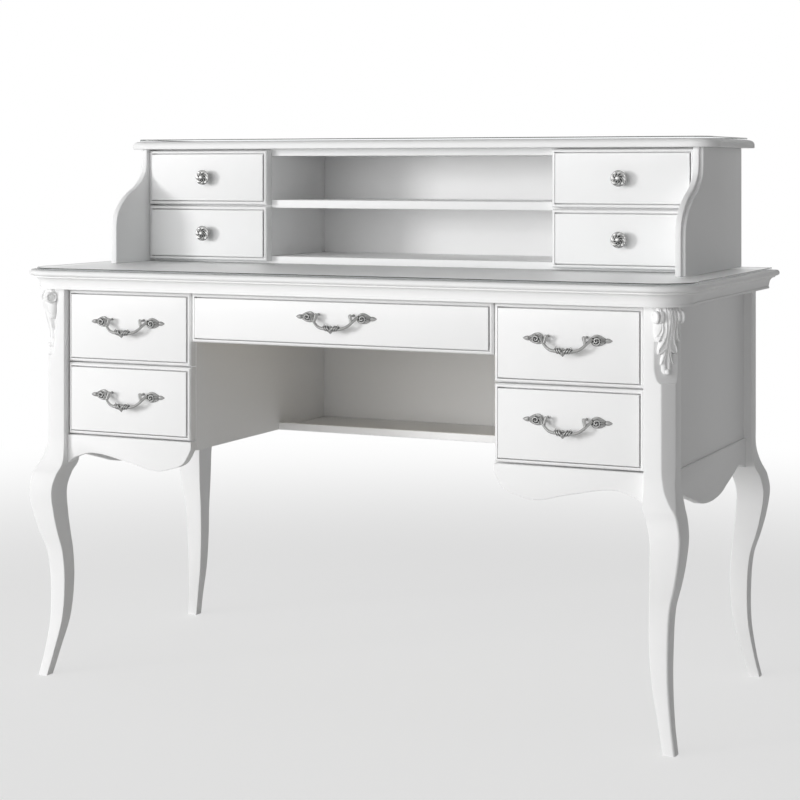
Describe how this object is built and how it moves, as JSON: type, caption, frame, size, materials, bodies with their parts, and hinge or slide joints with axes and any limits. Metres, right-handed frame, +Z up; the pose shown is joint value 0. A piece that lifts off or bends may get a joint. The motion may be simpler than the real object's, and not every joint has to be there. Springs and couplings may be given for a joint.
{
  "type": "writing desk",
  "caption": "White-painted provincial writing desk with curved legs, pedestal and centre drawers, and a small drawer hutch on its glass-covered top.",
  "frame": {"origin": "on the floor, in the middle of the desk's overall width and depth", "axes": "+X to the sitter's right, +Y from front to back, +Z up"},
  "size_m": [1.337, 0.6256, 1.028],
  "materials": {
    "white_lacquer": "white paint with a satin lacquer",
    "drawer_wood": "plain pale wood, sealed",
    "clear_glass": "clear sheet with ground edges",
    "antique_silver": "cast, silvered, with darkened recesses"
  },
  "bodies": {
    "desk": {"desk_top": "white_lacquer", "desk_top_glass": "clear_glass", "drawer_runners": "white_lacquer", "front_left_leg": "white_lacquer", "front_right_leg": "white_lacquer", "hutch_back": "white_lacquer", "hutch_boards": "white_lacquer", "hutch_dividers": "white_lacquer", "hutch_left_side": "white_lacquer", "hutch_right_side": "white_lacquer", "hutch_shelf": "white_lacquer", "hutch_top": "white_lacquer", "hutch_top_glass": "clear_glass", "kneehole_back": "white_lacquer", "kneehole_shelf": "white_lacquer", "left_front_apron": "white_lacquer", "left_inner_panel": "white_lacquer", "left_leaf": "white_lacquer", "left_side_apron": "white_lacquer", "left_side_panel": "white_lacquer", "pedestal_backs": "white_lacquer", "pedestal_bottoms": "white_lacquer", "pedestal_middle_boards": "white_lacquer", "rear_left_leg": "white_lacquer", "rear_right_leg": "white_lacquer", "right_front_apron": "white_lacquer", "right_inner_panel": "white_lacquer", "right_leaf": "white_lacquer", "right_side_apron": "white_lacquer", "right_side_panel": "white_lacquer"},
    "centre_drawer": {"centre_drawer_box": "drawer_wood", "centre_drawer_front": "white_lacquer", "centre_drawer_pull": "antique_silver"},
    "hutch_left_lower_drawer": {"hutch_left_lower_drawer_box": "drawer_wood", "hutch_left_lower_drawer_front": "white_lacquer", "hutch_left_lower_drawer_knob": "antique_silver"},
    "hutch_left_upper_drawer": {"hutch_left_upper_drawer_box": "drawer_wood", "hutch_left_upper_drawer_front": "white_lacquer", "hutch_left_upper_drawer_knob": "antique_silver"},
    "hutch_right_lower_drawer": {"hutch_right_lower_drawer_box": "drawer_wood", "hutch_right_lower_drawer_front": "white_lacquer", "hutch_right_lower_drawer_knob": "antique_silver"},
    "hutch_right_upper_drawer": {"hutch_right_upper_drawer_box": "drawer_wood", "hutch_right_upper_drawer_front": "white_lacquer", "hutch_right_upper_drawer_knob": "antique_silver"},
    "left_lower_drawer": {"left_lower_drawer_box": "drawer_wood", "left_lower_drawer_front": "white_lacquer", "left_lower_drawer_pull": "antique_silver"},
    "left_upper_drawer": {"left_upper_drawer_box": "drawer_wood", "left_upper_drawer_front": "white_lacquer", "left_upper_drawer_pull": "antique_silver"},
    "right_lower_drawer": {"right_lower_drawer_box": "drawer_wood", "right_lower_drawer_front": "white_lacquer", "right_lower_drawer_pull": "antique_silver"},
    "right_upper_drawer": {"right_upper_drawer_box": "drawer_wood", "right_upper_drawer_front": "white_lacquer", "right_upper_drawer_pull": "antique_silver"}
  },
  "joints": [
    {"name": "centre_drawer_slide", "type": "slide", "parent": "desk", "child": "centre_drawer", "axis": [0, -1, 0], "range_m": [0, 0.33]},
    {"name": "hutch_left_lower_drawer_slide", "type": "slide", "parent": "desk", "child": "hutch_left_lower_drawer", "axis": [0, -1, 0], "range_m": [0, 0.16]},
    {"name": "hutch_left_upper_drawer_slide", "type": "slide", "parent": "desk", "child": "hutch_left_upper_drawer", "axis": [0, -1, 0], "range_m": [0, 0.16]},
    {"name": "hutch_right_lower_drawer_slide", "type": "slide", "parent": "desk", "child": "hutch_right_lower_drawer", "axis": [0, -1, 0], "range_m": [0, 0.16]},
    {"name": "hutch_right_upper_drawer_slide", "type": "slide", "parent": "desk", "child": "hutch_right_upper_drawer", "axis": [0, -1, 0], "range_m": [0, 0.16]},
    {"name": "left_lower_drawer_slide", "type": "slide", "parent": "desk", "child": "left_lower_drawer", "axis": [0, -1, 0], "range_m": [0, 0.36]},
    {"name": "left_upper_drawer_slide", "type": "slide", "parent": "desk", "child": "left_upper_drawer", "axis": [0, -1, 0], "range_m": [0, 0.36]},
    {"name": "right_lower_drawer_slide", "type": "slide", "parent": "desk", "child": "right_lower_drawer", "axis": [0, -1, 0], "range_m": [0, 0.36]},
    {"name": "right_upper_drawer_slide", "type": "slide", "parent": "desk", "child": "right_upper_drawer", "axis": [0, -1, 0], "range_m": [0, 0.36]}
  ]
}
